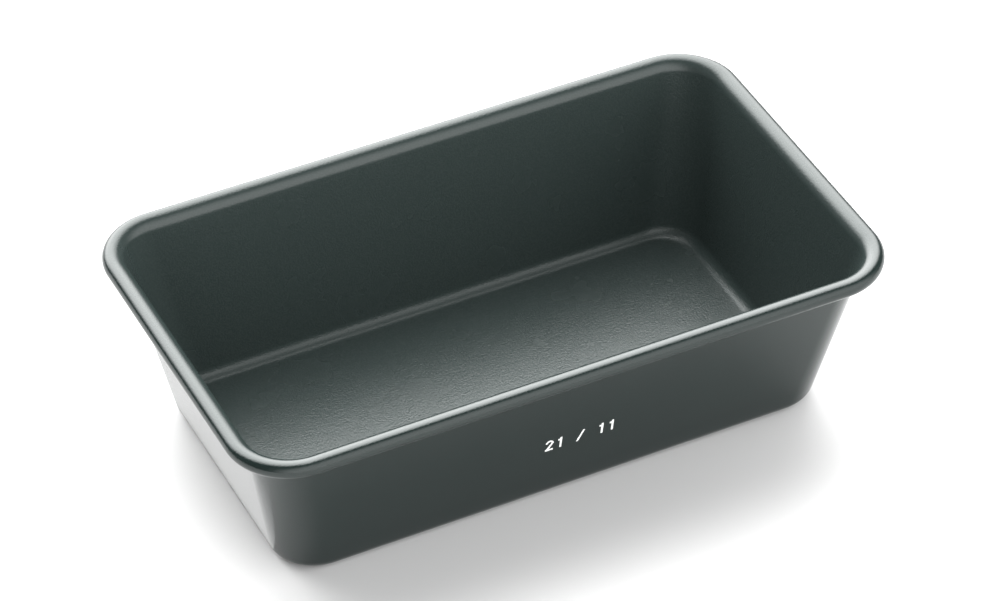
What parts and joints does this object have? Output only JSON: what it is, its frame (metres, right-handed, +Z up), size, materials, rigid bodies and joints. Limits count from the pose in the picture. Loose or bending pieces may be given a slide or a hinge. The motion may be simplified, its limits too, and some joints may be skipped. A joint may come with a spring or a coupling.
{
  "type": "loaf pan",
  "caption": "Non-stick steel loaf pan with leaning walls, rounded corners and a rolled rim over a wire, open at the top.",
  "frame": {"origin": "middle of the flat underside, on the surface that the pan stands on", "axes": "+X along the pan's length to the right, +Y across it to the back wall, +Z up out of the open top; the printed mark is on the front wall, at -Y"},
  "size_m": [0.23, 0.1384, 0.063],
  "materials": {
    "coated_steel": "satin non-stick coating with a fine metallic grain",
    "plain_steel": "drawn wire, uncoated",
    "white_print": "flat white print"
  },
  "bodies": {
    "root": {"pan_shell": "coated_steel", "rim_wire": "plain_steel", "printed_mark": "white_print"}
  },
  "joints": []
}
